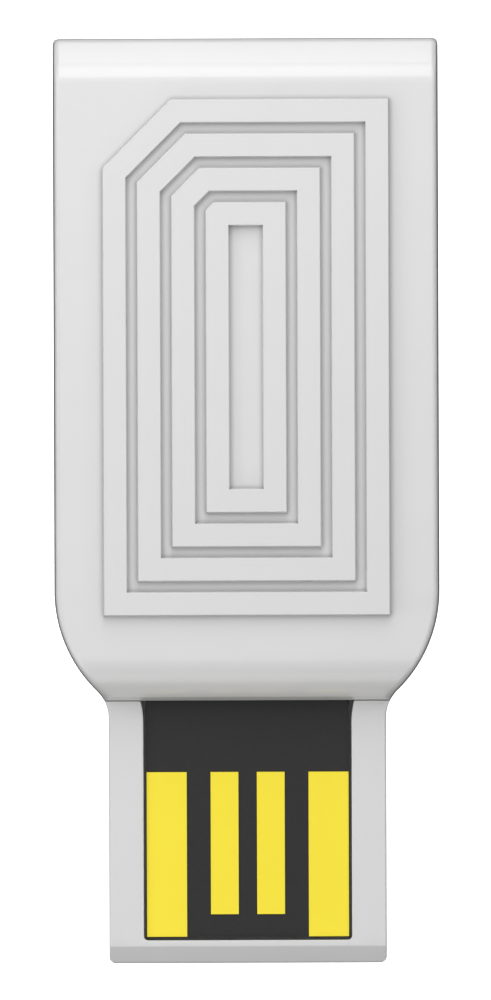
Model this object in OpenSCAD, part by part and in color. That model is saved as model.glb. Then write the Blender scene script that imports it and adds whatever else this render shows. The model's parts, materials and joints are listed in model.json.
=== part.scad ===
// Compact USB wireless network adapter: a sealed white housing with a half-height
// type A plug at one end, holding one circuit board.
//
// It lies on its back. X runs across it, +Y points from the plug to the tail end,
// +Z points out of the front face. The origin is at the middle of the rear face.

/* [Body] */
// Length from the tip of the plug to the tail end
total_l = 40; // [39.5:0.1:42]
// Width of the body
body_w = 16.65; // [16.4:0.05:18]
// Height of the front face above the rear face
face_z = 4.25; // [4.2:0.05:4.8]
// Thickness of the moulded side walls
wall = 0.8; // [0.7:0.05:0.9]
// Thickness of the front cover's roof
roof_t = 0.85; // [0.7:0.05:0.85]
// Radius of the two round shoulders beside the plug
shoulder_r = 6.05; // [5.8:0.05:6.3]
// Distance of the shoulders' centres above the cover's lower edge
shoulder_l = 4.75; // [4.6:0.05:5]
// Radius of the fillets that run from the shoulders into the plug
neck_r = 1.65; // [1.4:0.05:1.9]
// Slope of the bevel at the tail end
tail_slope = 45; // [35:1:50]
// Length of the round and the bevel at the tail end
tail_bevel_l = 2.05; // [1.8:0.05:2.2]

/* [Plug] */
// Width of the plug, set by the type A receptacle
plug_w = 12; // [11.9:0.05:12.1]
// Length of the plug below the cover's edge
plug_l = 11.37; // [11:0.05:11.75]
// Height of the plug's front rails above the rear face
rail_z = 2.3; // [2.25:0.05:2.4]
// Width of each rail beside the board
rail_w = 1.5; // [1.4:0.05:1.6]
// Thickness of the wall at the plug's tip
tip_wall = 1; // [0.9:0.05:1.1]
// Length of the lead-in bevel on the front of the tip
tip_bevel = 0.74; // [0.5:0.02:0.8]

/* [Raised pattern] */
// Number of raised frames, one inside the other
frame_count = 4; // [1:1:4]
// Width of each raised frame
frame_w = 0.985; // [0.8:0.005:1]
// Width of the grooves between the frames
groove_w = 0.495; // [0.4:0.005:0.5]
// Width of the slot in the innermost frame
slot_w = 1.48; // [1.2:0.02:1.6]
// Length of the slot in the innermost frame
slot_l = 11.4; // [10:0.2:11.6]
// Length cut off the outermost frame's one bevelled corner
corner_cut = 2.95; // [2:0.05:4]
// Height of the frames above the front face
frame_h = 0.4; // [0.2:0.05:0.5]

/* [Circuit board] */
// Thickness of the circuit board
board_t = 1; // [0.9:0.05:1]
// Depth of the board's face below the plug's rails
board_drop = 0.25; // [0.15:0.05:0.3]
// Thickness of the plated contacts and traces
plating_t = 0.05; // [0.03:0.01:0.06]
// Width of the two outer contacts
outer_contact_w = 1.73; // [1.5:0.01:1.75]
// Width of the two inner contacts
inner_contact_w = 1.2; // [1:0.05:1.3]

/* [Screening can] */
// Width of the can across the board
can_w = 10.2; // [9.9:0.1:10.4]
// Length of the can along the board
can_l = 12.8; // [12.7:0.1:13]
// Height of the can above the board
can_h = 1.1; // [1.05:0.05:1.2]
// Thickness of the can's sheet steel
sheet_t = 0.15; // [0.1:0.01:0.18]

/* [Hidden] */

tail_y = total_l / 2;
tip_y = -total_l / 2;
neck_y = tip_y + plug_l;
corner_round = 0.33;
tip_round = 0.28;
rear_bevel = 0.4;
bevel_slope = 0.8;
recess_round = 0.18;

// Play between fitted parts, overlap of joined shapes, and length by which a cutter runs past
gap = 0.02;
overlap = 0.1;
cut = 1;

// The shoulders' and neck fillets' centres on the +X side, and the angle between them
shoulder_c = [body_w / 2 - shoulder_r, neck_y + shoulder_l];
neck_x = plug_w / 2 + neck_r;
neck_c = [neck_x, shoulder_c[1] - leg(shoulder_r + neck_r, neck_x - shoulder_c[0])];
neck_a = atan2(shoulder_c[1] - neck_c[1], neck_c[0] - shoulder_c[0]);

// Side profile of the front cover
end_round = face_z - rail_z;
bevel_round = (tail_bevel_l / 2) / sin(tail_slope);
bevel_c = [tail_y - tail_bevel_l, face_z - bevel_round];
sill_l = 0.6;
sill_gap = 0.1;

// Distance of the raised pattern's middle, and of the screening can's, above the cover's edge
pattern_l = 14.825;
can_y = neck_y + 14.83;

// Lip of the tray that stands in a rebate of the cover
lip_t = wall / 2;
lip_h = 0.35;
lip_gap = 0.05;

// Locating pins of the tray, bored posts of the cover around them
pin_d = 0.98;
bore_d = 1;
pin_end_gap = 0.1;
post_d = 1.9;
pin_top = rail_z + 0.8;
pin_x = 6.3;
pin_ys = [neck_y + 6.8, tail_y - 2.1];
PINS = [for (x = [-pin_x, pin_x], y = pin_ys) [x, y]];

// Recess of the plug and the board in it
recess_w = plug_w - 2 * rail_w;
recess_end = tip_y + tip_wall;
flare_l = 0.95;
flare_w = 0.12;
board_top = rail_z - board_drop;
floor_t = board_top - board_t;
edge_gap = 0.1;
board_inset = wall + 0.15;
pin_hole_d = 1.2;

// Contacts
outer_x = 3.5;
inner_x = 1;
contact_top = tip_y + 8.27;
outer_end = tip_y + 1.15;
inner_end = tip_y + 2.12;

// Screening can
lid_gap = 0.02;
fence_w = can_w - 2 * (sheet_t + lid_gap);
fence_l = can_l - 2 * (sheet_t + lid_gap);
fence_h = can_h - sheet_t;
flange_w = 0.6;
notch_w = 1.2;
notch_h = 0.3;
NOTCHES_X = [-3, 0, 3];
NOTCHES_Y = [-4, 0, 4];
lid_clearance = 0.2;
vent_d = 0.7;
VENTS_Y = [-4.5:1.5:4.5];

// Places of the parts on the board: [x, distance above the cover's edge, turn]
CHIP_AT = [-0.6, 14.7];
CRYSTAL_AT = [3.2, 10.4];
REGULATOR_AT = [4, 4.6];
SURGE_AT = [0, 3.4];
INDUCTOR_AT = [[-3.3, 10, 0]];
BEAD_AT = [[2.2, 1.9, 90]];
FUSE_AT = [[3.5, 2.2, 90]];
BULK_AT = [[-3.6, 3.2, 0], [-3.6, 5.4, 0]];
CAPACITORS_AT = concat(
    [for (k = [0:5]) [3.6, 12.4 + 0.95 * k, 0]],
    [for (k = [0:4]) [-4.3, 12.2 + 1.15 * k, 90]],
    [for (k = [0:1]) [-1.3 + 1.3 * k, 9.6, 90]],
    [for (k = [0:1]) [-1.2, 1.9 + 1.3 * k, 90]]);
RESISTORS_AT = concat(
    [for (k = [0:3]) [-2.9 + 0.95 * k, 18.9, 90]],
    [for (k = [0:1]) [-0.8 + 1.4 * k, 6.6, 0]],
    [[1.2, 9.6, 90]]);
FILTER_AT = [[2.7, 18.9, 90]];
MATCHING_AT = [[1.2, 22.2, 0], [2.7, 22.7, 90]];

// Body sizes of the chips: length, width, height, length of each plated end
SIZE_0402 = [1, 0.5, 0.45, 0.25];
SIZE_0603 = [1.6, 0.8, 0.7, 0.3];
SIZE_0805 = [2, 1.25, 0.95, 0.4];
SIZE_INDUCTOR = [2, 1.6, 0.85, 0.35];
CHIP_SIZE = [6, 6, 0.85];
CRYSTAL_SIZE = [2.5, 2, 0.42];
REGULATOR_SIZE = [2.9, 1.6, 1];
SURGE_SIZE = [1.6, 1.2, 0.5];
land_h = 0.2;
standoff = 0.05;

// Bent leads: width, length out from the body, rise, thickness; then their pitch
REGULATOR_LEAD = [0.4, 0.6, 0.5, 0.14];
regulator_pitch = 0.95;
SURGE_LEAD = [0.2, 0.32, 0.2, 0.1];
surge_pitch = 0.5;

$fn = 48;

// ---------- Helpers ----------

function leg(hypotenuse, other) = sqrt(pow(hypotenuse, 2) - pow(other, 2));

// Points on an arc about c, from angle a0 to a1; a radius of 0 gives one point
function arc(c, r, a0, a1, n) = r > 0
    ? [for (k = [0:n]) c + r * [cos(a0 + (a1 - a0) * k / n), sin(a0 + (a1 - a0) * k / n)]]
    : [c];

function mirrored(points) = [for (k = [len(points) - 1:-1:0]) [-points[k][0], points[k][1]]];

// Plan of the housing, moved inwards by i all round
function plan_side(i) = let (tail = max(corner_round, i), tip = max(tip_round, i)) concat(
    arc([body_w / 2 - tail, tail_y - tail], tail - i, 90, 0, 6),
    arc(shoulder_c, shoulder_r - i, 0, -neck_a, 14),
    arc(neck_c, neck_r + i, 180 - neck_a, 180, 10),
    arc([plug_w / 2 - tip, tip_y + tip], tip - i, 0, -90, 5));

function plan(i) = concat(plan_side(i), mirrored(plan_side(i)));

// Side profile of the front cover, as [y, z], moved inwards by i
function cover_profile(i) = let (r = bevel_round - i, tail = tail_y - i,
    tangent = bevel_c + r * [sin(tail_slope), cos(tail_slope)]) concat(
    arc([neck_y + end_round, rail_z], end_round - i, 180, 90, 12),
    arc(bevel_c, r, 90, 90 - tail_slope, 8),
    [[tail, tangent[1] - (tail - tangent[0]) * tan(tail_slope)], [tail, rail_z]]);

// Draws a [y, z] profile as a solid across the whole width
module across(points) {
    translate([-body_w, 0, 0]) rotate([90, 0, 90]) linear_extrude(2 * body_w) polygon(points);
}

module slab(points, z0, z1) {
    translate([0, 0, z0]) linear_extrude(z1 - z0) polygon(points);
}

// A box given by its middle in x and y, its size, and its bottom
module block(x, y, size, z = 0) {
    translate([x - size[0] / 2, y - size[1] / 2, z]) cube(size);
}

// Puts the children on the board at a place measured from the cover's edge
module on_board(at) {
    translate([at[0], neck_y + at[1], board_top]) rotate([0, 0, len(at) > 2 ? at[2] : 0]) children();
}

// Body of a two-ended chip between its plated ends
module chip_body(size) {
    translate([size[3] - size[0] / 2, gap - size[1] / 2, gap])
        cube([size[0] - 2 * size[3], size[1] - 2 * gap, size[2] - 2 * gap]);
}

module chip_ends(size) {
    for (side = [-1, 1])
        block(side * (size[0] - size[3]) / 2, 0, [size[3], size[1], size[2]]);
}

// ---------- Housing ----------

// Outline of one raised pattern line: its size less i all round, one corner cut off
module frame_outline(i) {
    reach = frame_count * frame_w + (frame_count - 1) * groove_w - i;
    hw = slot_w / 2 + reach;
    hl = slot_l / 2 + reach;
    bevel = max(0, corner_cut - i * (2 - sqrt(2)));
    polygon([[-hw + bevel, hl], [hw, hl], [hw, -hl], [-hw, -hl], [-hw, hl - bevel]]);
}

module raised_frames() {
    translate([0, neck_y + pattern_l, face_z]) for (k = [0:frame_count - 1])
        linear_extrude(frame_h) difference() {
            frame_outline(k * (frame_w + groove_w));
            frame_outline(k * (frame_w + groove_w) + frame_w);
        }
}

module cover_posts() {
    for (p = PINS) translate([p[0], p[1], board_top])
        cylinder(h = face_z - roof_t + overlap - board_top, d = post_d);
}

module front_cover() {
    color("white") {
        difference() {
            union() {
                difference() {
                    intersection() {
                        slab(plan(0), rail_z, face_z + cut);
                        across(cover_profile(0));
                    }
                    intersection() {
                        slab(plan(wall), rail_z - cut, face_z - roof_t);
                        union() {
                            across(cover_profile(wall));
                            translate([-body_w, neck_y + wall, rail_z - cut])
                                cube([2 * body_w, tail_y - wall - neck_y - wall, cut]);
                        }
                    }
                    rebate();
                }
                cover_posts();
                sill();
            }
            for (p = PINS) translate([p[0], p[1], board_top - cut])
                cylinder(h = pin_top + pin_end_gap - board_top + cut, d = bore_d);
        }
        raised_frames();
    }
}

// Rebate in the cover's walls that takes the tray's lip
module rebate() {
    difference() {
        slab(plan(lip_t), rail_z - cut, rail_z + lip_h + lip_gap);
        slab(plan(wall), rail_z - 2 * cut, rail_z + cut);
        below_shoulders(lip_gap);
    }
}

module below_shoulders(play) {
    translate([-body_w, tip_y - cut, 0]) cube([2 * body_w, shoulder_c[1] - play - tip_y + cut, face_z]);
}

// Sill of the cover that closes the step over the board
module sill() {
    block(0, neck_y + sill_gap + sill_l / 2,
        [recess_w - 2 * edge_gap, sill_l, board_drop + overlap], board_top);
}

// Recess of the plug, flared where it runs under the cover
function recess_side() = let (r = (pow(flare_l, 2) + pow(flare_w, 2)) / (2 * flare_w),
    a = asin(flare_l / r)) concat(
    [[recess_w / 2 + flare_w, neck_y + wall]],
    arc([recess_w / 2 + r, neck_y - flare_l], r, 180 - a, 180, 5),
    arc([recess_w / 2 - recess_round, recess_end + recess_round], recess_round, 0, -90, 4));

// Side profile of the rear tray, bevelled at the tip for plugging in
function tray_profile() = [[tip_y + rear_bevel, 0], [tip_y, rear_bevel],
    [tip_y, rail_z - tip_bevel * bevel_slope], [tip_y + tip_bevel, rail_z], [tail_y, rail_z], [tail_y, 0]];

module rear_tray() {
    color("white") {
        difference() {
            intersection() {
                slab(plan(0), 0, rail_z);
                across(tray_profile());
            }
            slab(concat(recess_side(), mirrored(recess_side())), floor_t, rail_z + cut);
            difference() {
                slab(plan(wall), floor_t, rail_z + cut);
                translate([-body_w, tip_y - cut, 0])
                    cube([2 * body_w, neck_y + wall - tip_y + cut, face_z]);
            }
        }
        lip();
        for (p = PINS) translate([p[0], p[1], floor_t - overlap])
            cylinder(h = pin_top - floor_t + overlap, d = pin_d);
    }
}

module lip() {
    difference() {
        slab(plan(lip_t + gap), rail_z - overlap, rail_z + lip_h);
        slab(plan(wall), rail_z - cut, rail_z + cut);
        below_shoulders(0);
    }
}

// ---------- Circuit board ----------

// Right half of the board's outline: wide in the body, narrow in the plug
function board_side() = let (step_y = neck_y + board_inset, tongue_x = recess_w / 2 - edge_gap) concat(
    [for (p = plan_side(board_inset)) if (p[1] > step_y + overlap) p],
    [[shoulder_c[0] + leg(shoulder_r - board_inset, shoulder_c[1] - step_y), step_y],
    [tongue_x, step_y], [tongue_x, recess_end + edge_gap]]);

module circuit_board() {
    color([0.2, 0.2, 0.2]) translate([0, 0, floor_t]) difference() {
        linear_extrude(board_t) polygon(concat(board_side(), mirrored(board_side())));
        for (p = PINS) translate([p[0], p[1], -cut]) cylinder(h = board_t + 2 * cut, d = pin_hole_d);
    }
}

module contact(x, w, end) {
    color([1, 0.92, 0.27]) translate([x - w / 2, end, board_top]) cube([w, contact_top - end, plating_t]);
}

module ground_contact() contact(-outer_x, outer_contact_w, outer_end);

module data_plus_contact() contact(-inner_x, inner_contact_w, inner_end);

module data_minus_contact() contact(inner_x, inner_contact_w, inner_end);

module power_contact() contact(outer_x, outer_contact_w, outer_end);

// A line of track between two places that share x or y, in 2D
module track(a, b, w) {
    low = [min(a[0], b[0]), min(a[1], b[1])];
    high = [max(a[0], b[0]), max(a[1], b[1])];
    translate(low - [w / 2, w / 2]) square(high - low + [w, w]);
}

module tracks(points, w) {
    for (k = [0:len(points) - 2]) track(points[k], points[k + 1], w);
}

// Printed inverted F antenna, folded to and fro across the tail end
module antenna_trace() {
    w = 0.5;
    fold = 1.2;
    top = 26.9;
    bottom = 24;
    color([0.85, 0.6, 0.3]) translate([0, neck_y, board_top]) linear_extrude(plating_t) union() {
        tracks([[2.7, 23.6], [2.7, top], [4.6, top], [4.6, 22.4]], w);
        for (k = [0:2]) {
            x = 2.7 - 2 * fold * k;
            tracks([[x, top], [x - fold, top], [x - fold, bottom], [x - 2 * fold, bottom],
                [x - 2 * fold, top]], w);
        }
    }
}

// Data pair, supply, ground and antenna feed, inside the body and clear of the parts' ends
module signal_traces() {
    w = 0.2;
    wide = 0.6;
    color([0.7, 0.5, 0.3]) translate([0, neck_y, board_top]) linear_extrude(plating_t) union() {
        for (x = [-0.5, 0.5]) {
            tracks([[x, 0.95], [x, 2.35]], w);
            tracks([[x, 4.45], [x, 6.2]], w);
        }
        tracks([[3.5, 1.06], [3.5, 1.07]], wide);
        tracks([[-3.5, 1.06], [-3.5, 2.2]], wide);
        tracks([[2.7, 19.9], [2.7, 21.95]], w);
    }
}

// ---------- Parts on the board ----------

module wifi_chip() {
    color([0.12, 0.12, 0.13]) on_board(CHIP_AT) {
        translate([0, 0, land_h]) block(0, 0, CHIP_SIZE - [0, 0, land_h]);
        block(0, 0, [CHIP_SIZE[0] - 1.1, CHIP_SIZE[1] - 1.1, land_h]);
    }
}

module wifi_chip_lands() {
    pitch = 0.42;
    color("silver") on_board(CHIP_AT) for (turn = [0:90:270], k = [-5.5:5.5])
        rotate([0, 0, turn]) block(CHIP_SIZE[0] / 2 - 0.26, k * pitch, [0.44, 0.22, land_h]);
}

module crystal_case() {
    color([0.75, 0.7, 0.6]) on_board(CRYSTAL_AT) block(0, 0, CRYSTAL_SIZE);
}

module crystal_lid() {
    color("silver") on_board(CRYSTAL_AT)
        block(0, 0, [CRYSTAL_SIZE[0] - 0.3, CRYSTAL_SIZE[1] - 0.3, 0.14], CRYSTAL_SIZE[2]);
}

// One bent lead: foot on the board, leg up, arm into the body, as [along, up]
module lead(size) {
    w = size[0];
    out = size[1];
    rise = size[2];
    t = size[3];
    rotate([90, 0, 0]) translate([0, 0, -w / 2]) linear_extrude(w) polygon([
        [out, 0], [out, t], [out * 0.45, t], [out * 0.45, rise + t], [0, rise + t],
        [0, rise], [out * 0.45 - t, rise], [out * 0.45 - t, 0]]);
}

module regulator_body() {
    color([0.1, 0.1, 0.1]) on_board(REGULATOR_AT) block(0, 0, REGULATOR_SIZE, standoff);
}

module regulator_leads() {
    color("silver") on_board(REGULATOR_AT) {
        for (k = [-1:1]) translate([k * regulator_pitch, -REGULATOR_SIZE[1] / 2, 0])
            rotate([0, 0, -90]) lead(REGULATOR_LEAD);
        for (k = [-1, 1]) translate([k * regulator_pitch, REGULATOR_SIZE[1] / 2, 0])
            rotate([0, 0, 90]) lead(REGULATOR_LEAD);
    }
}

module surge_protector_body() {
    color([0.1, 0.1, 0.1]) on_board(SURGE_AT) block(0, 0, SURGE_SIZE, standoff);
}

module surge_protector_leads() {
    color("silver") on_board(SURGE_AT) for (k = [-1:1], side = [-1, 1])
        translate([k * surge_pitch, side * SURGE_SIZE[1] / 2, 0])
            rotate([0, 0, side * 90]) lead(SURGE_LEAD);
}

module power_inductor() {
    color([0.35, 0.33, 0.32]) for (at = INDUCTOR_AT) on_board(at) chip_body(SIZE_INDUCTOR);
}

module power_inductor_ends() {
    color("silver") for (at = INDUCTOR_AT) on_board(at) chip_ends(SIZE_INDUCTOR);
}

module ferrite_bead() {
    color([0.25, 0.25, 0.27]) for (at = BEAD_AT) on_board(at) chip_body(SIZE_0603);
}

module ferrite_bead_ends() {
    color("silver") for (at = BEAD_AT) on_board(at) chip_ends(SIZE_0603);
}

module resettable_fuse() {
    color([0.2, 0.45, 0.25]) for (at = FUSE_AT) on_board(at) chip_body(SIZE_0603);
}

module resettable_fuse_ends() {
    color("silver") for (at = FUSE_AT) on_board(at) chip_ends(SIZE_0603);
}

module bulk_capacitors() {
    color([0.62, 0.48, 0.34]) for (at = BULK_AT) on_board(at) chip_body(SIZE_0805);
}

module bulk_capacitor_ends() {
    color("silver") for (at = BULK_AT) on_board(at) chip_ends(SIZE_0805);
}

module chip_capacitors() {
    color([0.62, 0.48, 0.34]) for (at = CAPACITORS_AT) on_board(at) chip_body(SIZE_0402);
}

module chip_capacitor_ends() {
    color("silver") for (at = CAPACITORS_AT) on_board(at) chip_ends(SIZE_0402);
}

module chip_resistors() {
    color([0.1, 0.1, 0.12]) for (at = RESISTORS_AT) on_board(at) chip_body(SIZE_0402);
}

module chip_resistor_ends() {
    color("silver") for (at = RESISTORS_AT) on_board(at) chip_ends(SIZE_0402);
}

module antenna_filter() {
    color([0.85, 0.85, 0.82]) for (at = FILTER_AT) on_board(at) chip_body(SIZE_0603);
}

module antenna_filter_ends() {
    color("silver") for (at = FILTER_AT) on_board(at) chip_ends(SIZE_0603);
}

module matching_inductors() {
    color([0.3, 0.45, 0.65]) for (at = MATCHING_AT) on_board(at) chip_body(SIZE_0402);
}

module matching_inductor_ends() {
    color("silver") for (at = MATCHING_AT) on_board(at) chip_ends(SIZE_0402);
}

// Soldered fence with an inner flange, notched where traces pass under it
module shield_fence() {
    color("silver") translate([0, can_y, board_top]) difference() {
        block(0, 0, [fence_w, fence_l, fence_h]);
        block(0, 0, [fence_w - 2 * sheet_t, fence_l - 2 * sheet_t, fence_h - sheet_t + cut], -cut);
        block(0, 0, [fence_w - 2 * flange_w, fence_l - 2 * flange_w, 2 * fence_h]);
        for (x = NOTCHES_X) block(x, 0, [notch_w, fence_l + cut, notch_h + cut], -cut);
        for (y = NOTCHES_Y) block(0, y, [fence_w + cut, notch_w, notch_h + cut], -cut);
    }
}

// Clip-on lid over the fence, with vent holes
module shield_lid() {
    color([0.8, 0.8, 0.82]) translate([0, can_y, board_top]) difference() {
        block(0, 0, [can_w, can_l, can_h - lid_clearance], lid_clearance);
        block(0, 0, [fence_w + 2 * lid_gap, fence_l + 2 * lid_gap, can_h - sheet_t + cut], -cut);
        for (x = NOTCHES_X, y = VENTS_Y)
            translate([x, y, 0]) cylinder(h = 2 * can_h, d = vent_d, $fn = 24);
    }
}

front_cover();
rear_tray();
circuit_board();
ground_contact();
data_plus_contact();
data_minus_contact();
power_contact();
antenna_trace();
signal_traces();
wifi_chip();
wifi_chip_lands();
crystal_case();
crystal_lid();
regulator_body();
regulator_leads();
surge_protector_body();
surge_protector_leads();
power_inductor();
power_inductor_ends();
ferrite_bead();
ferrite_bead_ends();
resettable_fuse();
resettable_fuse_ends();
bulk_capacitors();
bulk_capacitor_ends();
chip_capacitors();
chip_capacitor_ends();
chip_resistors();
chip_resistor_ends();
antenna_filter();
antenna_filter_ends();
matching_inductors();
matching_inductor_ends();
shield_fence();
shield_lid();
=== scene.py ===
import json
import math

import bmesh
import bpy
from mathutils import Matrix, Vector


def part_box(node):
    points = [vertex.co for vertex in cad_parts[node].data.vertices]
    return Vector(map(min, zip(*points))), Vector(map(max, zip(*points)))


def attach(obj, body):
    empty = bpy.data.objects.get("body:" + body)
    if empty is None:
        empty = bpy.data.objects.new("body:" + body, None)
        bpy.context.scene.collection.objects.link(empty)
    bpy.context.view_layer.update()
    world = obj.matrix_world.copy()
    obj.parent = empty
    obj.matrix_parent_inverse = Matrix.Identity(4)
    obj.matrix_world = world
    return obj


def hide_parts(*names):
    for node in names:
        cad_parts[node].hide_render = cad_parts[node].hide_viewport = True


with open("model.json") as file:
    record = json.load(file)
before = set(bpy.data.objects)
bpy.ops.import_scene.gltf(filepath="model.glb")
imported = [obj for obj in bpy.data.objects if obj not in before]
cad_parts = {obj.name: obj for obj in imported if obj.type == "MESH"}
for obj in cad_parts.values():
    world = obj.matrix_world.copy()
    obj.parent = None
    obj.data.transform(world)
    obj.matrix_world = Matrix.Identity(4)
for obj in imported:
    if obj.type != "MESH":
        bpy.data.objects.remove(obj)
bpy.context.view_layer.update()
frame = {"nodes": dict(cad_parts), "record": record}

# Lengths are in millimetres while a mesh is made, and MM turns them into metres at the end.
MM = 0.001

# ---------- Sizes, from the frame ----------

cover_low, cover_high = (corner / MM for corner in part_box("front_cover"))
tray_low, tray_high = (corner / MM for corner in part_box("rear_tray"))
board_low, board_high = (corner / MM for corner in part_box("circuit_board"))

BODY_W = 2 * tray_high.x
TIP_Y = tray_low.y
TAIL_Y = tray_high.y
NECK_Y = cover_low.y
BOARD_TOP = board_high.z
FLOOR_T = board_low.z
BOARD_DROP = 0.25
RAIL_Z = BOARD_TOP + BOARD_DROP
FRAME_H = 0.4
FACE_Z = cover_high.z - FRAME_H

# Housing
WALL = 0.8
ROOF_T = 0.85
SHOULDER_R = 6.05
SHOULDER_L = 4.75
SHOULDER_Y = NECK_Y + SHOULDER_L
SHOULDER_X = BODY_W / 2 - SHOULDER_R
NECK_R = 1.65
PLUG_W = 12.0
NECK_CX = PLUG_W / 2 + NECK_R
NECK_CY = SHOULDER_Y - math.sqrt((SHOULDER_R + NECK_R) ** 2 - (NECK_CX - SHOULDER_X) ** 2)
NECK_ANGLE = math.atan2(SHOULDER_Y - NECK_CY, NECK_CX - SHOULDER_X)
TAIL_CORNER_R = 0.33
TIP_CORNER_R = 0.28

# Rounding of the cover's rim in from the sides and the tail, and down the tail
SIDE_ROUND = 0.23
TAIL_ROUND = 0.12
TAIL_DROP = 0.2

# Lean of the cover's side walls from foot to top, and the share of it that the tail has
WALL_DRAFT = 0.07
TAIL_DRAFT = 0.5

# Where the wall runs out at the plug's end: the largest shares of its height that the rounding's
# reach and drop, the lean and the seam's edge may have, and the least height it counts as
REACH_SHARE = 0.9
DROP_SHARE = 0.5
LEAN_SHARE = 0.25
SEAM_SHARE = 0.3
LEAST_WALL = 1e-4

# Rounded edges where the mouldings meet, and the slot in the tray's face at the cover's edge
SEAM = 0.04
PARTING_W = 0.035
PARTING_D = 0.12

# Side profile of the front cover
END_ROUND = FACE_Z - RAIL_Z
END_CY = NECK_Y + END_ROUND
TAIL_SLOPE = math.radians(45)
TAIL_BEVEL_L = 2.05
BEVEL_R = TAIL_BEVEL_L / 2 / math.sin(TAIL_SLOPE)
BEVEL_CY = TAIL_Y - TAIL_BEVEL_L
BEVEL_CZ = FACE_Z - BEVEL_R

# Plug
RECESS_HALF = 4.5
TIP_WALL = 1.0
RECESS_END = TIP_Y + TIP_WALL
RECESS_CORNER_R = 0.18
FLARE_L = 0.95
FLARE_W = 0.12
TIP_BEVEL_L = 0.74
TIP_BEVEL_SLOPE = 0.8
TIP_REAR_BEVEL = 0.4
RECESS_EDGE = 0.05

# Rounded edges of the tray: front and rear, on the plug and on the body, and how fast they change
RAIL_EDGE = 0.09
RAIL_BLEND = 0.6
REAR_EDGE = 0.28
PLUG_REAR_EDGE = 0.15
REAR_BLEND = 1.5

# Raised pattern
FRAME_COUNT = 4
FRAME_W = 0.985
GROOVE_W = 0.495
SLOT_W = 1.48
SLOT_L = 11.4
CORNER_CUT = 2.95
PATTERN_L = 14.825
PATTERN_Y = NECK_Y + PATTERN_L
FRAME_EDGE = 0.018
FRAME_TOP_INSET = 0.01
FRAME_DRAFT = 0.055

# Joint of the two mouldings
LIP_T = WALL / 2
LIP_H = 0.35
LIP_GAP = 0.05
PIN_R = 0.49
BORE_R = 0.5
POST_R = 0.95
PIN_H = 0.8
PIN_TOP = RAIL_Z + PIN_H
PIN_TAPER = 0.12
PIN_TAPER_L = 0.15
PIN_END_GAP = 0.1
LEAD_IN = 0.08
PIN_X = 6.3
PIN_YS = (NECK_Y + 6.8, TAIL_Y - 2.1)
SILL_L = 0.6
SILL_HALF = 4.4
SILL_GAP = 0.1
FIT_GAP = 0.02

# Depth by which joined shapes sink into each other, and by which a cutter runs past a face
SUNK = 0.2
JOINED = 0.1
CUT = 0.5
CUT_ABOVE = 1

# Fineness of the meshes: steps round curves and corners, the least distance between two rows of
# points along Y, the distance of the rows on each side of a bend, and the length of the tip that
# has rows of its own
ARC_STEPS = 14
EDGE_STEPS = 5
CORNER_STEPS = 9
SHARP_ANGLE = math.radians(32)
LEAST_STEP = 0.004
NEAR_STEP = 0.03
TIP_ROWS_L = 1.2


# ---------- Mesh helpers ----------

def add_object(name, bm):
    """Turns a bmesh in millimetres into an object, with its shared points merged."""
    bmesh.ops.remove_doubles(bm, verts=bm.verts, dist=1e-4)
    bmesh.ops.recalc_face_normals(bm, faces=bm.faces)
    mesh = bpy.data.meshes.new(name)
    bm.to_mesh(mesh)
    bm.free()
    piece = bpy.data.objects.new(name, mesh)
    bpy.context.scene.collection.objects.link(piece)
    return piece


def combine(piece, other, operation):
    """Applies an exact boolean to piece and removes the other object."""
    modifier = piece.modifiers.new("combine", "BOOLEAN")
    modifier.operation = operation
    modifier.solver = "EXACT"
    modifier.object = other
    bpy.context.view_layer.update()
    evaluated = piece.evaluated_get(bpy.context.evaluated_depsgraph_get())
    mesh = bpy.data.meshes.new_from_object(evaluated)
    piece.modifiers.clear()
    piece.data = mesh
    bpy.data.objects.remove(other)


def finish_piece(piece, material, slot, *nodes):
    """Scales a piece to metres, shades it, and puts it in the place of its CAD nodes."""
    for vertex in piece.data.vertices:
        vertex.co *= MM
    piece.data.shade_smooth()
    piece.data.set_sharp_from_angle(angle=SHARP_ANGLE)
    normals = piece.modifiers.new("normals", "WEIGHTED_NORMAL")
    normals.keep_sharp = True
    piece.data.materials.clear()
    piece.data.materials.append(material)
    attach(piece, "root")
    if nodes:
        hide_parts(*nodes)


def stack(bm, loops):
    """Skins a stack of loops with the same number of points, and caps both ends."""
    rings = [[bm.verts.new(point) for point in loop] for loop in loops]
    for low, high in zip(rings, rings[1:]):
        for k in range(len(low)):
            n = (k + 1) % len(low)
            bm.faces.new((low[k], low[n], high[n], high[k]))
    bm.faces.new(list(reversed(rings[0])))
    bm.faces.new(rings[-1])


def prism(name, outline, z_low, z_high):
    bm = bmesh.new()
    stack(bm, [[(x, y, z) for x, y in outline] for z in (z_low, z_high)])
    return add_object(name, bm)


def round_post(bm, x, y, levels, sides=32):
    """A turned shape: levels is a list of (radius, height)."""
    loops = []
    for radius, z in levels:
        angles = [2 * math.pi * k / sides for k in range(sides)]
        loops.append([(x + radius * math.cos(a), y + radius * math.sin(a), z) for a in angles])
    stack(bm, loops)


def mirrored(points):
    return [(-x, y) for x, y in reversed(points)]


def edge_arc(a, b, c, steps=EDGE_STEPS):
    """Points of a rounded edge from a to c whose corner would be at b."""
    weight = math.sqrt(0.5)
    points = []
    for k in range(steps + 1):
        t = k / steps
        wa, wb, wc = (1 - t) ** 2, 2 * weight * t * (1 - t), t ** 2
        points.append((a * wa + b * wb + c * wc) / (wa + wb + wc))
    return points


# ---------- Outline and profiles ----------

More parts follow.
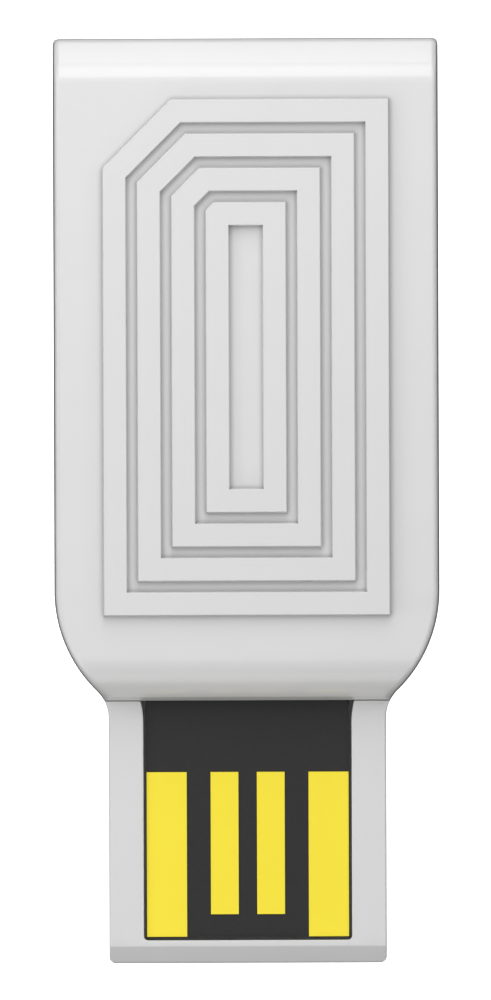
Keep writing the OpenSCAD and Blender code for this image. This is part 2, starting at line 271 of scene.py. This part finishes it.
def half_width(y, inset=0.0):
    """Half the housing's width at y, on an outline moved inwards by inset."""
    tangent_y = SHOULDER_Y - (SHOULDER_R - inset) * math.sin(NECK_ANGLE)
    if y >= SHOULDER_Y:
        return BODY_W / 2 - inset
    if y >= tangent_y:
        return SHOULDER_X + math.sqrt((SHOULDER_R - inset) ** 2 - (SHOULDER_Y - y) ** 2)
    if y >= NECK_CY:
        return NECK_CX - math.sqrt((NECK_R + inset) ** 2 - (y - NECK_CY) ** 2)
    return PLUG_W / 2 - inset


def inward(y):
    """Unit normal into the housing at the outline's +X side."""
    x = half_width(y)
    if y >= SHOULDER_Y or y <= NECK_CY:
        return Vector((-1, 0))
    if y >= SHOULDER_Y - SHOULDER_R * math.sin(NECK_ANGLE):
        return Vector((SHOULDER_X - x, SHOULDER_Y - y)).normalized()
    return Vector((x - NECK_CX, y - NECK_CY)).normalized()


def cover_top(y, inset=0.0):
    """Height of the front cover's surface at y, moved inwards by inset."""
    if y < END_CY:
        return RAIL_Z + math.sqrt(max((END_ROUND - inset) ** 2 - (END_CY - y) ** 2, 0))
    radius = BEVEL_R - inset
    slope_y = BEVEL_CY + radius * math.sin(TAIL_SLOPE)
    if y <= BEVEL_CY:
        return FACE_Z - inset
    if y <= slope_y:
        return BEVEL_CZ + math.sqrt(radius ** 2 - (y - BEVEL_CY) ** 2)
    return BEVEL_CZ + radius * math.cos(TAIL_SLOPE) - (y - slope_y) * math.tan(TAIL_SLOPE)


def tray_top(y):
    return RAIL_Z - TIP_BEVEL_SLOPE * max(TIP_Y + TIP_BEVEL_L - y, 0)


def tray_bottom(y):
    return max(TIP_Y + TIP_REAR_BEVEL - y, 0)


def between(low, high, count):
    return [low + (high - low) * k / count for k in range(count + 1)]


def shoulder_ys(low):
    """Heights along the neck fillet and the shoulder, closer together where they curve more."""
    fillet = [NECK_CY + NECK_R * math.sin(a) for a in between(0, NECK_ANGLE, ARC_STEPS)]
    shoulder = [SHOULDER_Y - SHOULDER_R * math.sin(a) for a in between(NECK_ANGLE, 0, 2 * ARC_STEPS)]
    return [y for y in fillet + shoulder if y >= low]


def distinct(values):
    kept = []
    for value in sorted(values):
        if not kept or value - kept[-1] > LEAST_STEP:
            kept.append(value)
    return kept


class Station:
    """A point of the housing's outline on the +X side, with what a rounded edge there needs.

    The corner, if the point is on one, is (x, y, way, radius) as corner_stations has them.
    """

    def __init__(self, point, normal, corner=None):
        self.point = Vector(point)
        self.normal = normal
        self.corner = corner

    def inner(self, side, end):
        """The point moved inwards by side, or at a corner by side and end along X and Y."""
        if self.corner:
            corner_x, corner_y, way, _ = self.corner
            return Vector((corner_x - side, corner_y + way * end))
        return self.point + self.normal * side

    def drafted(self, amount):
        """The point moved inwards by amount; at a corner, by only its TAIL_DRAFT share along Y."""
        if self.corner:
            corner_x, corner_y, way, radius = self.corner
            centre = Vector((corner_x - radius, corner_y + way * radius))
            towards = (centre - self.point).normalized()
            return self.point + Vector((towards.x, towards.y * TAIL_DRAFT)) * amount
        return self.point + self.normal * amount


def corner_stations(x, y, radius, way):
    """Stations round a corner of the outline; way is 1 at the low end in y, -1 at the high end."""
    stations = []
    for k in range(CORNER_STEPS + 1):
        angle = math.pi / 2 * (k / CORNER_STEPS)
        turn = angle if way < 0 else math.pi / 2 - angle
        offset_x = radius * math.cos(turn) - radius
        offset_y = way * (radius - radius * math.sin(turn))
        stations.append(Station((x + offset_x, y + offset_y), None, (x, y, way, radius)))
    return stations


def rounded_body(name, stations, top, bottom, top_edge, bottom_edge):
    """A closed body between two height functions, its rim rounded as the edge functions say.

    An edge function gives, for a station's y, how far the rounding reaches in along the sides
    and along the ends, how far down the wall, and how far the wall leans in from the middle.
    """
    bm = bmesh.new()

    def column(station, flip):
        y = station.point.y
        rim = []
        for height, edge in ((top, top_edge), (bottom, bottom_edge)):
            side, end, drop, lean = edge(y)
            inner = station.inner(side + lean, end + lean)
            corner = station.drafted(lean)
            below = station.drafted(lean * (1 - drop / max(top(y) - bottom(y), drop)))
            way = -1 if height is top else 1
            a = Vector((inner.x, inner.y, height(inner.y)))
            b = Vector((corner.x, corner.y, height(corner.y)))
            c = Vector((below.x, below.y, height(y) + way * drop))
            arc = edge_arc(a, b, c)
            rim += arc if height is top else arc[::-1]
        return [bm.verts.new((-p.x if flip else p.x, p.y, p.z)) for p in rim]

    right = [column(station, False) for station in stations]
    left = [column(station, True) for station in stations]
    loop = right + left[::-1]
    for k, near in enumerate(loop):
        far = loop[(k + 1) % len(loop)]
        for level in range(len(near) - 1):
            bm.faces.new((near[level], near[level + 1], far[level + 1], far[level]))
    for k in range(len(stations) - 1):
        bm.faces.new((right[k][0], right[k + 1][0], left[k + 1][0], left[k][0]))
        bm.faces.new((right[k][-1], left[k][-1], left[k + 1][-1], right[k + 1][-1]))
    bmesh.ops.dissolve_degenerate(bm, dist=1e-4, edges=bm.edges)
    return add_object(name, bm)


# ---------- Front cover ----------

def cover_stations(inset=0.0):
    low = NECK_Y + inset
    high = TAIL_Y - inset
    radius = END_ROUND - inset
    bevel = BEVEL_R - inset
    ys = [END_CY - radius * math.cos(a) for a in between(0, math.pi / 2, 2 * ARC_STEPS)]
    ys += shoulder_ys(END_CY) + between(SHOULDER_Y, BEVEL_CY, 4)
    ys += [BEVEL_CY + bevel * math.sin(a) for a in between(0, TAIL_SLOPE, 2 * EDGE_STEPS)]
    corner = max(TAIL_CORNER_R - inset, 0)
    ys = [y for y in distinct(ys + [high - corner]) if low - 1e-6 <= y <= high - corner + 1e-6]
    stations = [Station((half_width(y, inset), y), inward(y)) for y in ys]
    if corner:
        stations.pop()
        return stations + corner_stations(BODY_W / 2, TAIL_Y, TAIL_CORNER_R, -1)
    return stations


def cover_top_edge(y):
    room = max(cover_top(y) - RAIL_Z, LEAST_WALL)
    side = min(SIDE_ROUND, REACH_SHARE * room)
    lean = min(WALL_DRAFT, LEAN_SHARE * room)
    if y > TAIL_Y - TAIL_CORNER_R:
        return side, TAIL_ROUND, TAIL_DROP, lean
    return side, side, min(side, DROP_SHARE * room), lean


def cover_bottom_edge(y):
    seam = min(SEAM, SEAM_SHARE * max(cover_top(y) - RAIL_Z, LEAST_WALL))
    return seam, seam, seam, 0


def sharp_edge(y):
    return 1e-3, 1e-3, 1e-3, 0


def frame_outline(i):
    """Outline of the raised pattern moved inwards by i: a rectangle with one corner cut off."""
    reach = FRAME_COUNT * FRAME_W + (FRAME_COUNT - 1) * GROOVE_W - i
    hw = SLOT_W / 2 + reach
    hl = SLOT_L / 2 + reach
    cut = max(0.0, CORNER_CUT - i * (2 - math.sqrt(2)))
    corners = [(-hw + cut, hl), (hw, hl), (hw, -hl), (-hw, -hl), (-hw, hl - cut)]
    return [(x, y + PATTERN_Y) for x, y in corners]


def frame_section():
    """Section across one raised frame, as (distance in from its outer edge, height)."""
    top = FACE_Z + FRAME_H
    foot = FRAME_TOP_INSET - FRAME_DRAFT
    side = [(foot, FACE_Z - SUNK), (foot, FACE_Z)]
    a = Vector((FRAME_TOP_INSET - FRAME_DRAFT * FRAME_EDGE / FRAME_H, top - FRAME_EDGE))
    b = Vector((FRAME_TOP_INSET, top))
    c = Vector((FRAME_TOP_INSET + FRAME_EDGE, top))
    side += [tuple(p) for p in edge_arc(a, b, c, 3)]
    return side + [(FRAME_W - d, z) for d, z in reversed(side)]


def raised_frames():
    bm = bmesh.new()
    for k in range(FRAME_COUNT):
        start = k * (FRAME_W + GROOVE_W)
        rings = []
        for d, z in frame_section():
            rings.append([bm.verts.new((x, y, z)) for x, y in frame_outline(start + d)])
        for ring, following in zip(rings, rings[1:] + rings[:1]):
            for m in range(len(ring)):
                n = (m + 1) % len(ring)
                bm.faces.new((ring[m], ring[n], following[n], following[m]))
    bmesh.ops.remove_doubles(bm, verts=bm.verts, dist=1e-4)
    bmesh.ops.dissolve_degenerate(bm, dist=1e-4, edges=bm.edges)
    return add_object("frames", bm)


def lip_outline(outer, inner, low):
    """A band along the inside of the walls, open at the plug's end."""
    def side(inset):
        ys = between(low, TAIL_Y - inset, 8)
        return [(half_width(y, inset), y) for y in ys]
    return side(outer) + mirrored(side(outer)) + [(-x, y) for x, y in side(inner)] + side(inner)[::-1]


def posts(levels):
    bm = bmesh.new()
    for x in (-PIN_X, PIN_X):
        for y in PIN_YS:
            round_post(bm, x, y, levels)
    return add_object("posts", bm)


def make_front_cover(material):
    cover = rounded_body("front_shell", cover_stations(), cover_top, lambda y: RAIL_Z,
                         cover_top_edge, cover_bottom_edge)
    combine(cover, raised_frames(), "UNION")
    hollow = rounded_body("hollow", cover_stations(WALL),
                          lambda y: min(cover_top(y, WALL), FACE_Z - ROOF_T),
                          lambda y: RAIL_Z - CUT, sharp_edge, sharp_edge)
    combine(cover, hollow, "DIFFERENCE")
    rebate = lip_outline(LIP_T, WALL + LIP_GAP, SHOULDER_Y - LIP_GAP)
    combine(cover, prism("rebate", rebate, RAIL_Z - CUT, RAIL_Z + LIP_H + LIP_GAP), "DIFFERENCE")
    combine(cover, posts([(POST_R, BOARD_TOP), (POST_R, FACE_Z - ROOF_T + JOINED)]), "UNION")
    sill_low = NECK_Y + SILL_GAP
    sill = [(SILL_HALF, sill_low), (SILL_HALF, sill_low + SILL_L)]
    sill_top = BOARD_TOP + BOARD_DROP + JOINED
    combine(cover, prism("sill", sill + mirrored(sill), BOARD_TOP, sill_top), "UNION")
    mouth = BORE_R + LEAD_IN
    bores = [(mouth, BOARD_TOP - CUT), (mouth, BOARD_TOP), (BORE_R, BOARD_TOP + LEAD_IN),
             (BORE_R, PIN_TOP + PIN_END_GAP)]
    combine(cover, posts(bores), "DIFFERENCE")
    finish_piece(cover, material, "white_housing", "front_cover")


# ---------- Rear tray ----------

def tray_stations():
    stations = corner_stations(PLUG_W / 2, TIP_Y, TIP_CORNER_R, 1)
    bevel_y = TIP_Y + TIP_BEVEL_L
    ys = [TIP_Y + TIP_REAR_BEVEL, bevel_y - NEAR_STEP, bevel_y + NEAR_STEP]
    ys += between(TIP_Y + TIP_ROWS_L, NECK_CY, 6) + shoulder_ys(NECK_CY)
    ys += between(SHOULDER_Y, TAIL_Y - TAIL_CORNER_R, 6)
    inner = [y for y in distinct(ys) if y < TAIL_Y - TAIL_CORNER_R - 0.01]
    stations += [Station((half_width(y), y), inward(y)) for y in inner]
    return stations + corner_stations(BODY_W / 2, TAIL_Y, TAIL_CORNER_R, -1)


def tray_top_edge(y):
    t = min(max((NECK_Y - y) / RAIL_BLEND, 0), 1)
    edge = SEAM + (RAIL_EDGE - SEAM) * t
    return edge, edge, edge, 0


def tray_bottom_edge(y):
    t = min(max((NECK_Y - y) / REAR_BLEND, 0), 1)
    edge = REAR_EDGE + (PLUG_REAR_EDGE - REAR_EDGE) * t
    return edge, edge, edge, 0


def recess_outline(grow):
    """The plug's recess, flared where it runs under the cover, moved outwards by grow."""
    flare_r = (FLARE_L ** 2 + FLARE_W ** 2) / (2 * FLARE_W)
    sweep = math.asin(FLARE_L / flare_r)
    points = [(RECESS_HALF + FLARE_W + grow, NECK_Y + WALL + 0.01)]
    for a in between(sweep, 0, 6):
        x = RECESS_HALF + flare_r - (flare_r - grow) * math.cos(a)
        points.append((x, NECK_Y - FLARE_L + (flare_r - grow) * math.sin(a)))
    corner_x = RECESS_HALF - RECESS_CORNER_R
    corner_y = RECESS_END + RECESS_CORNER_R
    radius = RECESS_CORNER_R + grow
    for a in between(0, math.pi / 2, EDGE_STEPS):
        points.append((corner_x + radius * math.cos(a), corner_y - radius * math.sin(a)))
    return points + mirrored(points)


def recess_cutter():
    bm = bmesh.new()
    rim = RECESS_EDGE
    levels = [(0.0, FLOOR_T), (0.0, RAIL_Z - rim)]
    a, b, c = Vector((0.0, RAIL_Z - rim)), Vector((0.0, RAIL_Z)), Vector((rim, RAIL_Z))
    levels += [tuple(p) for p in edge_arc(a, b, c, 3)[1:]]
    levels += [(rim + 0.001, RAIL_Z + CUT_ABOVE)]
    stack(bm, [[(x, y, z) for x, y in recess_outline(grow)] for grow, z in levels])
    return add_object("recess", bm)


def body_hollow_outline():
    ys = [NECK_Y + WALL] + shoulder_ys(NECK_Y + WALL + 0.05) + [TAIL_Y - WALL]
    side = [(half_width(y, WALL), y) for y in distinct(ys)]
    return side + mirrored(side)


def make_rear_tray(material):
    tray = rounded_body("rear_shell", tray_stations(), tray_top, tray_bottom,
                        tray_top_edge, tray_bottom_edge)
    combine(tray, prism("hollow", body_hollow_outline(), FLOOR_T, RAIL_Z + CUT_ABOVE), "DIFFERENCE")
    combine(tray, recess_cutter(), "DIFFERENCE")
    parting = [(NECK_CX, NECK_Y - PARTING_W), (NECK_CX, NECK_Y + PARTING_W)]
    slot = prism("parting", parting + mirrored(parting), RAIL_Z - PARTING_D, RAIL_Z + CUT_ABOVE)
    combine(tray, slot, "DIFFERENCE")
    lip = lip_outline(LIP_T + FIT_GAP, WALL, SHOULDER_Y)
    combine(tray, prism("lip", lip, RAIL_Z - SUNK, RAIL_Z + LIP_H), "UNION")
    pin = [(PIN_R, FLOOR_T - SUNK), (PIN_R, PIN_TOP - PIN_TAPER_L), (PIN_R - PIN_TAPER, PIN_TOP)]
    combine(tray, posts(pin), "UNION")
    finish_piece(tray, material, "white_housing", "rear_tray")


# ---------- Materials ----------

def new_material(name):
    material = bpy.data.materials.new(name)
    material.use_nodes = True
    nodes = material.node_tree.nodes
    shader = nodes["Principled BSDF"]
    return material, nodes, material.node_tree.links, shader


def pattern_space(nodes, links, stretch=(1, 1, 1)):
    """Object coordinates in millimetres, stretched along the axes."""
    place = nodes.new("ShaderNodeTexCoord")
    scale = nodes.new("ShaderNodeMapping")
    scale.inputs["Scale"].default_value = [s / MM for s in stretch]
    links.new(place.outputs["Object"], scale.inputs["Vector"])
    return scale.outputs["Vector"]


def noise(nodes, links, space, scale, detail=2.0):
    texture = nodes.new("ShaderNodeTexNoise")
    texture.inputs["Scale"].default_value = scale
    texture.inputs["Detail"].default_value = detail
    links.new(space, texture.inputs["Vector"])
    return texture.outputs["Fac"]


def ramp(nodes, links, source, low, high, start=0.3, end=0.7):
    """Colours between low and high as source goes from start to end."""
    node = nodes.new("ShaderNodeValToRGB")
    node.color_ramp.elements[0].position = start
    node.color_ramp.elements[1].position = end
    node.color_ramp.elements[0].color = (*low, 1)
    node.color_ramp.elements[1].color = (*high, 1)
    links.new(source, node.inputs["Fac"])
    return node.outputs["Color"]


def spread(nodes, links, source, low, high):
    """A value between low and high as source goes from 0.3 to 0.7."""
    node = nodes.new("ShaderNodeMapRange")
    node.inputs["From Min"].default_value = 0.3
    node.inputs["From Max"].default_value = 0.7
    node.inputs["To Min"].default_value = low
    node.inputs["To Max"].default_value = high
    links.new(source, node.inputs["Value"])
    return node.outputs["Result"]


def bump(nodes, links, shader, source, distance_mm, strength=1.0):
    node = nodes.new("ShaderNodeBump")
    node.inputs["Strength"].default_value = strength
    node.inputs["Distance"].default_value = distance_mm * MM
    links.new(source, node.inputs["Height"])
    links.new(node.outputs["Normal"], shader.inputs["Normal"])


def shade(colour, factor):
    return tuple(min(c * factor, 1) for c in colour)


def surface(name, colour, roughness, vary=0.04, grain=6.0, relief=0.002, metallic=0.0,
            stretch=(1, 1, 1)):
    """A material whose colour, roughness and bump vary with grain noises per millimetre."""
    material, nodes, links, shader = new_material(name)
    space = pattern_space(nodes, links, stretch)
    broad = noise(nodes, links, space, grain / 12)
    fine = noise(nodes, links, space, grain, 4)
    links.new(ramp(nodes, links, broad, shade(colour, 1 - vary), shade(colour, 1 + vary)),
              shader.inputs["Base Color"])
    links.new(spread(nodes, links, fine, roughness[0], roughness[1]), shader.inputs["Roughness"])
    bump(nodes, links, shader, fine, relief)
    shader.inputs["Metallic"].default_value = metallic
    return material


def laminate(name):
    """Black solder mask with the glass weave just showing through."""
    material, nodes, links, shader = new_material(name)
    space = pattern_space(nodes, links)
    weave = []
    for direction in ("X", "Y"):
        wave = nodes.new("ShaderNodeTexWave")
        wave.bands_direction = direction
        wave.inputs["Scale"].default_value = 0.55
        wave.inputs["Distortion"].default_value = 0.4
        links.new(space, wave.inputs["Vector"])
        weave.append(wave.outputs["Fac"])
    cross = nodes.new("ShaderNodeMath")
    cross.operation = "MULTIPLY"
    links.new(weave[0], cross.inputs[0])
    links.new(weave[1], cross.inputs[1])
    fine = noise(nodes, links, space, 9, 3)
    links.new(ramp(nodes, links, fine, (0.021, 0.021, 0.022), (0.026, 0.026, 0.027)),
              shader.inputs["Base Color"])
    links.new(spread(nodes, links, fine, 0.5, 0.62), shader.inputs["Roughness"])
    bump(nodes, links, shader, cross.outputs["Value"], 0.002, 0.4)
    shader.inputs["Specular IOR Level"].default_value = 0.3
    return material


# Painted shade: the housing's colour is darkened in its inner corners, where shade falls. Reach of this
# painted shade, and the share of the colour left where nothing of the surroundings can be seen
PAINTED_SHADE_REACH = 0.2
PAINTED_SHADE_LOW = 0.42


def paint_crease_shade(material):
    nodes, links = material.node_tree.nodes, material.node_tree.links
    shader = nodes["Principled BSDF"]
    colour = shader.inputs["Base Color"].links[0].from_socket
    # Painted shade: an ambient-occlusion node darkens the base colour near inner corners and at the feet
    # of walls
    shade_probe = nodes.new("ShaderNodeAmbientOcclusion")
    shade_probe.only_local = True
    shade_probe.inputs["Distance"].default_value = PAINTED_SHADE_REACH * MM
    shade_share = nodes.new("ShaderNodeMapRange")
    shade_share.inputs["To Min"].default_value = PAINTED_SHADE_LOW
    links.new(shade_probe.outputs["AO"], shade_share.inputs["Value"])
    shaded_colour = nodes.new("ShaderNodeVectorMath")
    shaded_colour.operation = "SCALE"
    links.new(colour, shaded_colour.inputs["Vector"])
    links.new(shade_share.outputs["Result"], shaded_colour.inputs["Scale"])
    links.new(shaded_colour.outputs["Vector"], shader.inputs["Base Color"])


def make_materials():
    white = (0.72, 0.72, 0.72)
    tin = (0.72, 0.72, 0.73)
    return {
        "white_housing": surface("white_housing", white, (0.10, 0.16), 0.006, 5.0, 0.0004),
        "board": laminate("board"),
        "contact_plating": surface("contact_plating", (1.0, 0.82, 0.036), (0.34, 0.42), 0.004, 14,
                                   0.0006),
        "copper": surface("copper", (0.72, 0.36, 0.18), (0.3, 0.45), 0.06, 10, 0.001, 1.0),
        "chip_epoxy": surface("chip_epoxy", (0.022, 0.022, 0.024), (0.5, 0.7), 0.12, 14, 0.004),
        "tin_plating": surface("tin_plating", tin, (0.28, 0.42), 0.05, 16, 0.002, 1.0),
        "crystal_ceramic": surface("crystal_ceramic", (0.42, 0.33, 0.22), (0.5, 0.65), 0.08, 12, 0.003),
        "crystal_metal": surface("crystal_metal", (0.7, 0.66, 0.55), (0.2, 0.34), 0.04, 9, 0.001, 1.0,
                                 (0.15, 1, 1)),
        "capacitor_ceramic": surface("capacitor_ceramic", (0.38, 0.24, 0.13), (0.45, 0.6), 0.12, 18,
                                     0.003),
        "resistor_coat": surface("resistor_coat", (0.012, 0.012, 0.014), (0.3, 0.45), 0.15, 14, 0.002),
        "ferrite": surface("ferrite", (0.07, 0.07, 0.075), (0.6, 0.8), 0.18, 18, 0.005),
        "fuse_coat": surface("fuse_coat", (0.03, 0.13, 0.05), (0.4, 0.55), 0.12, 12, 0.003),
        "filter_ceramic": surface("filter_ceramic", (0.68, 0.67, 0.62), (0.45, 0.6), 0.05, 15, 0.002),
        "inductor_ceramic": surface("inductor_ceramic", (0.07, 0.14, 0.32), (0.25, 0.4), 0.1, 14, 0.002),
        "shield_steel": surface("shield_steel", (0.6, 0.6, 0.61), (0.24, 0.4), 0.04, 12, 0.0012, 1.0,
                                (1, 0.08, 1)),
    }


# ---------- Carried-over CAD nodes ----------

# Width of the softened edges of each material's nodes
NODE_BEVELS = {"contact_plating": 0.012, "board": 0.02, "chip_epoxy": 0.03, "tin_plating": 0.02,
               "capacitor_ceramic": 0.02, "resistor_coat": 0.02, "ferrite": 0.03, "fuse_coat": 0.02,
               "filter_ceramic": 0.02, "inductor_ceramic": 0.02, "crystal_ceramic": 0.03,
               "crystal_metal": 0.03, "shield_steel": 0.03, "copper": 0.008}


def dress_nodes(materials, replaced):
    """Gives each CAD node that still shows its own material and softened edges."""
    for part in frame["record"]["subparts"]:
        name, slot = part["node"], part["material_slot"]
        if name in replaced:
            continue
        node = frame["nodes"][name]
        node.data.materials.clear()
        node.data.materials.append(materials[slot])
        soften = node.modifiers.new("soften", "BEVEL")
        soften.width = NODE_BEVELS[slot] * MM
        soften.segments = 2
        soften.limit_method = "ANGLE"
        soften.angle_limit = math.radians(40)
        soften.harden_normals = True


# ---------- Stage, light and camera ----------

FLOOR_HALF = 600
FLOOR_Z = -0.02
FLOOR_PALE = 0.9
FLOOR_GLOW = 0.9
FLOOR_DARK = 0.012
BACKDROP = 1.0

# Softboxes on a dome round the object, aimed at its middle: width and height of each kind of
# panel, then the kind, azimuth from the +X side, elevation and radiance of each panel. The
# strips behind the tail give its bevel the bright band
DOME_R = 90
PANEL_SIZES = {"strip_low": (30, 12), "strip_middle": (26, 36), "strip_high": (26, 34),
               "middle": (64, 36), "high": (43, 40), "top": (60, 60), "under": (16, 16)}
PANELS = [
    ("strip_low", 90, 4, 4), ("strip_middle", 90, 20, 3), ("strip_high", 90, 42, 3),
    ("middle", 0, 30, 0.5), ("middle", 45, 30, 1.25), ("middle", 90, 30, 1.25),
    ("middle", 135, 30, 1), ("middle", 180, 30, 1.75), ("middle", 225, 30, 2),
    ("middle", 270, 30, 1), ("middle", 315, 30, 1.5),
    ("high", 45, 55, 1), ("high", 90, 55, 1), ("high", 135, 55, 2.5),
    ("high", 225, 55, 1.25), ("high", 315, 55, 1.25), ("top", 0, 90, 0.75), ("under", 0, -90, 105),
]


def make_stage():
    """A floor that is pale and lit up to the camera, dark to the object, and clear from below."""
    bm = bmesh.new()
    bmesh.ops.create_grid(bm, x_segments=1, y_segments=1, size=FLOOR_HALF * MM)
    bmesh.ops.translate(bm, verts=bm.verts, vec=(0, 0, FLOOR_Z * MM))
    mesh = bpy.data.meshes.new("floor")
    bm.to_mesh(mesh)
    bm.free()
    floor = bpy.data.objects.new("floor", mesh)
    bpy.context.scene.collection.objects.link(floor)
    material, nodes, links, shader = new_material("floor")
    shader.inputs["Base Color"].default_value = (FLOOR_DARK, FLOOR_DARK, FLOOR_DARK, 1)
    shader.inputs["Roughness"].default_value = 1.0
    shader.inputs["Specular IOR Level"].default_value = 0.0
    seen = nodes.new("ShaderNodeBsdfDiffuse")
    seen.inputs["Color"].default_value = (FLOOR_PALE, FLOOR_PALE, FLOOR_PALE, 1)
    glow = nodes.new("ShaderNodeEmission")
    glow.inputs["Strength"].default_value = FLOOR_GLOW
    lit = nodes.new("ShaderNodeAddShader")
    links.new(seen.outputs["BSDF"], lit.inputs[0])
    links.new(glow.outputs["Emission"], lit.inputs[1])
    path = nodes.new("ShaderNodeLightPath")
    choose = nodes.new("ShaderNodeMixShader")
    links.new(path.outputs["Is Camera Ray"], choose.inputs["Fac"])
    links.new(shader.outputs["BSDF"], choose.inputs[1])
    links.new(lit.outputs["Shader"], choose.inputs[2])
    side = nodes.new("ShaderNodeNewGeometry")
    clear = nodes.new("ShaderNodeBsdfTransparent")
    passing = nodes.new("ShaderNodeMath")
    passing.operation = "MAXIMUM"
    links.new(side.outputs["Backfacing"], passing.inputs[0])
    links.new(path.outputs["Is Shadow Ray"], passing.inputs[1])
    one_sided = nodes.new("ShaderNodeMixShader")
    links.new(passing.outputs["Value"], one_sided.inputs["Fac"])
    links.new(choose.outputs["Shader"], one_sided.inputs[1])
    links.new(clear.outputs["BSDF"], one_sided.inputs[2])
    links.new(one_sided.outputs["Shader"], nodes["Material Output"].inputs["Surface"])
    mesh.materials.append(material)


def add_softbox(kind, azimuth, elevation, radiance):
    light = bpy.data.lights.new("%s_%d" % (kind, azimuth), "AREA")
    light.shape = "RECTANGLE"
    light.size, light.size_y = (side * MM for side in PANEL_SIZES[kind])
    light.energy = radiance * math.pi * light.size * light.size_y
    lamp = bpy.data.objects.new(light.name, light)
    turn, rise = math.radians(azimuth), math.radians(elevation)
    away = Vector((math.cos(rise) * math.cos(turn), math.cos(rise) * math.sin(turn), math.sin(rise)))
    lamp.location = away * DOME_R * MM
    lamp.rotation_euler = (-away).to_track_quat("-Z", "Y").to_euler()
    lamp.visible_camera = False
    bpy.context.scene.collection.objects.link(lamp)


def light_scene():
    """A backdrop that only the camera sees, and softboxes all round that light the object."""
    world = bpy.data.worlds.new("studio")
    world.use_nodes = True
    nodes, links = world.node_tree.nodes, world.node_tree.links
    unlit = nodes["Background"]
    unlit.inputs["Strength"].default_value = 0
    pale = nodes.new("ShaderNodeBackground")
    pale.inputs["Color"].default_value = (1, 1, 1, 1)
    pale.inputs["Strength"].default_value = BACKDROP
    path = nodes.new("ShaderNodeLightPath")
    choose = nodes.new("ShaderNodeMixShader")
    links.new(path.outputs["Is Camera Ray"], choose.inputs["Fac"])
    links.new(unlit.outputs["Background"], choose.inputs[1])
    links.new(pale.outputs["Background"], choose.inputs[2])
    links.new(choose.outputs["Shader"], nodes["World Output"].inputs["Surface"])
    bpy.context.scene.world = world
    for panel in PANELS:
        add_softbox(*panel)


# The camera, straight above the object: its distance above the level whose shown height is
# given, its offset from the object's middle, and its roll in degrees
CAMERA_DISTANCE = 1000
SHOWN_HEIGHT = 43.2
SHOWN_LEVEL = 3.3
CAMERA_OFFSET = (-0.048, 0.03)
CAMERA_ROLL = -0.2
CLIP_END = 10000
SENSOR = 36


def add_camera():
    """A long lens, so that the view is nearly parallel."""
    camera_data = bpy.data.cameras.new("camera")
    camera_data.sensor_width = SENSOR
    camera_data.lens = SENSOR * CAMERA_DISTANCE / SHOWN_HEIGHT
    camera_data.clip_end = CLIP_END * MM
    camera = bpy.data.objects.new("camera", camera_data)
    camera.location = Vector((*CAMERA_OFFSET, CAMERA_DISTANCE + SHOWN_LEVEL)) * MM
    camera.rotation_euler = (0, 0, math.radians(CAMERA_ROLL))
    bpy.context.scene.collection.objects.link(camera)
    bpy.context.scene.camera = camera


add_camera()
light_scene()
make_stage()
materials = make_materials()
# Paints shade into the white housing's colour in its inner corners
paint_crease_shade(materials["white_housing"])
make_front_cover(materials["white_housing"])
make_rear_tray(materials["white_housing"])
dress_nodes(materials, {"front_cover", "rear_tray"})

bpy.context.scene.view_settings.view_transform = "Standard"
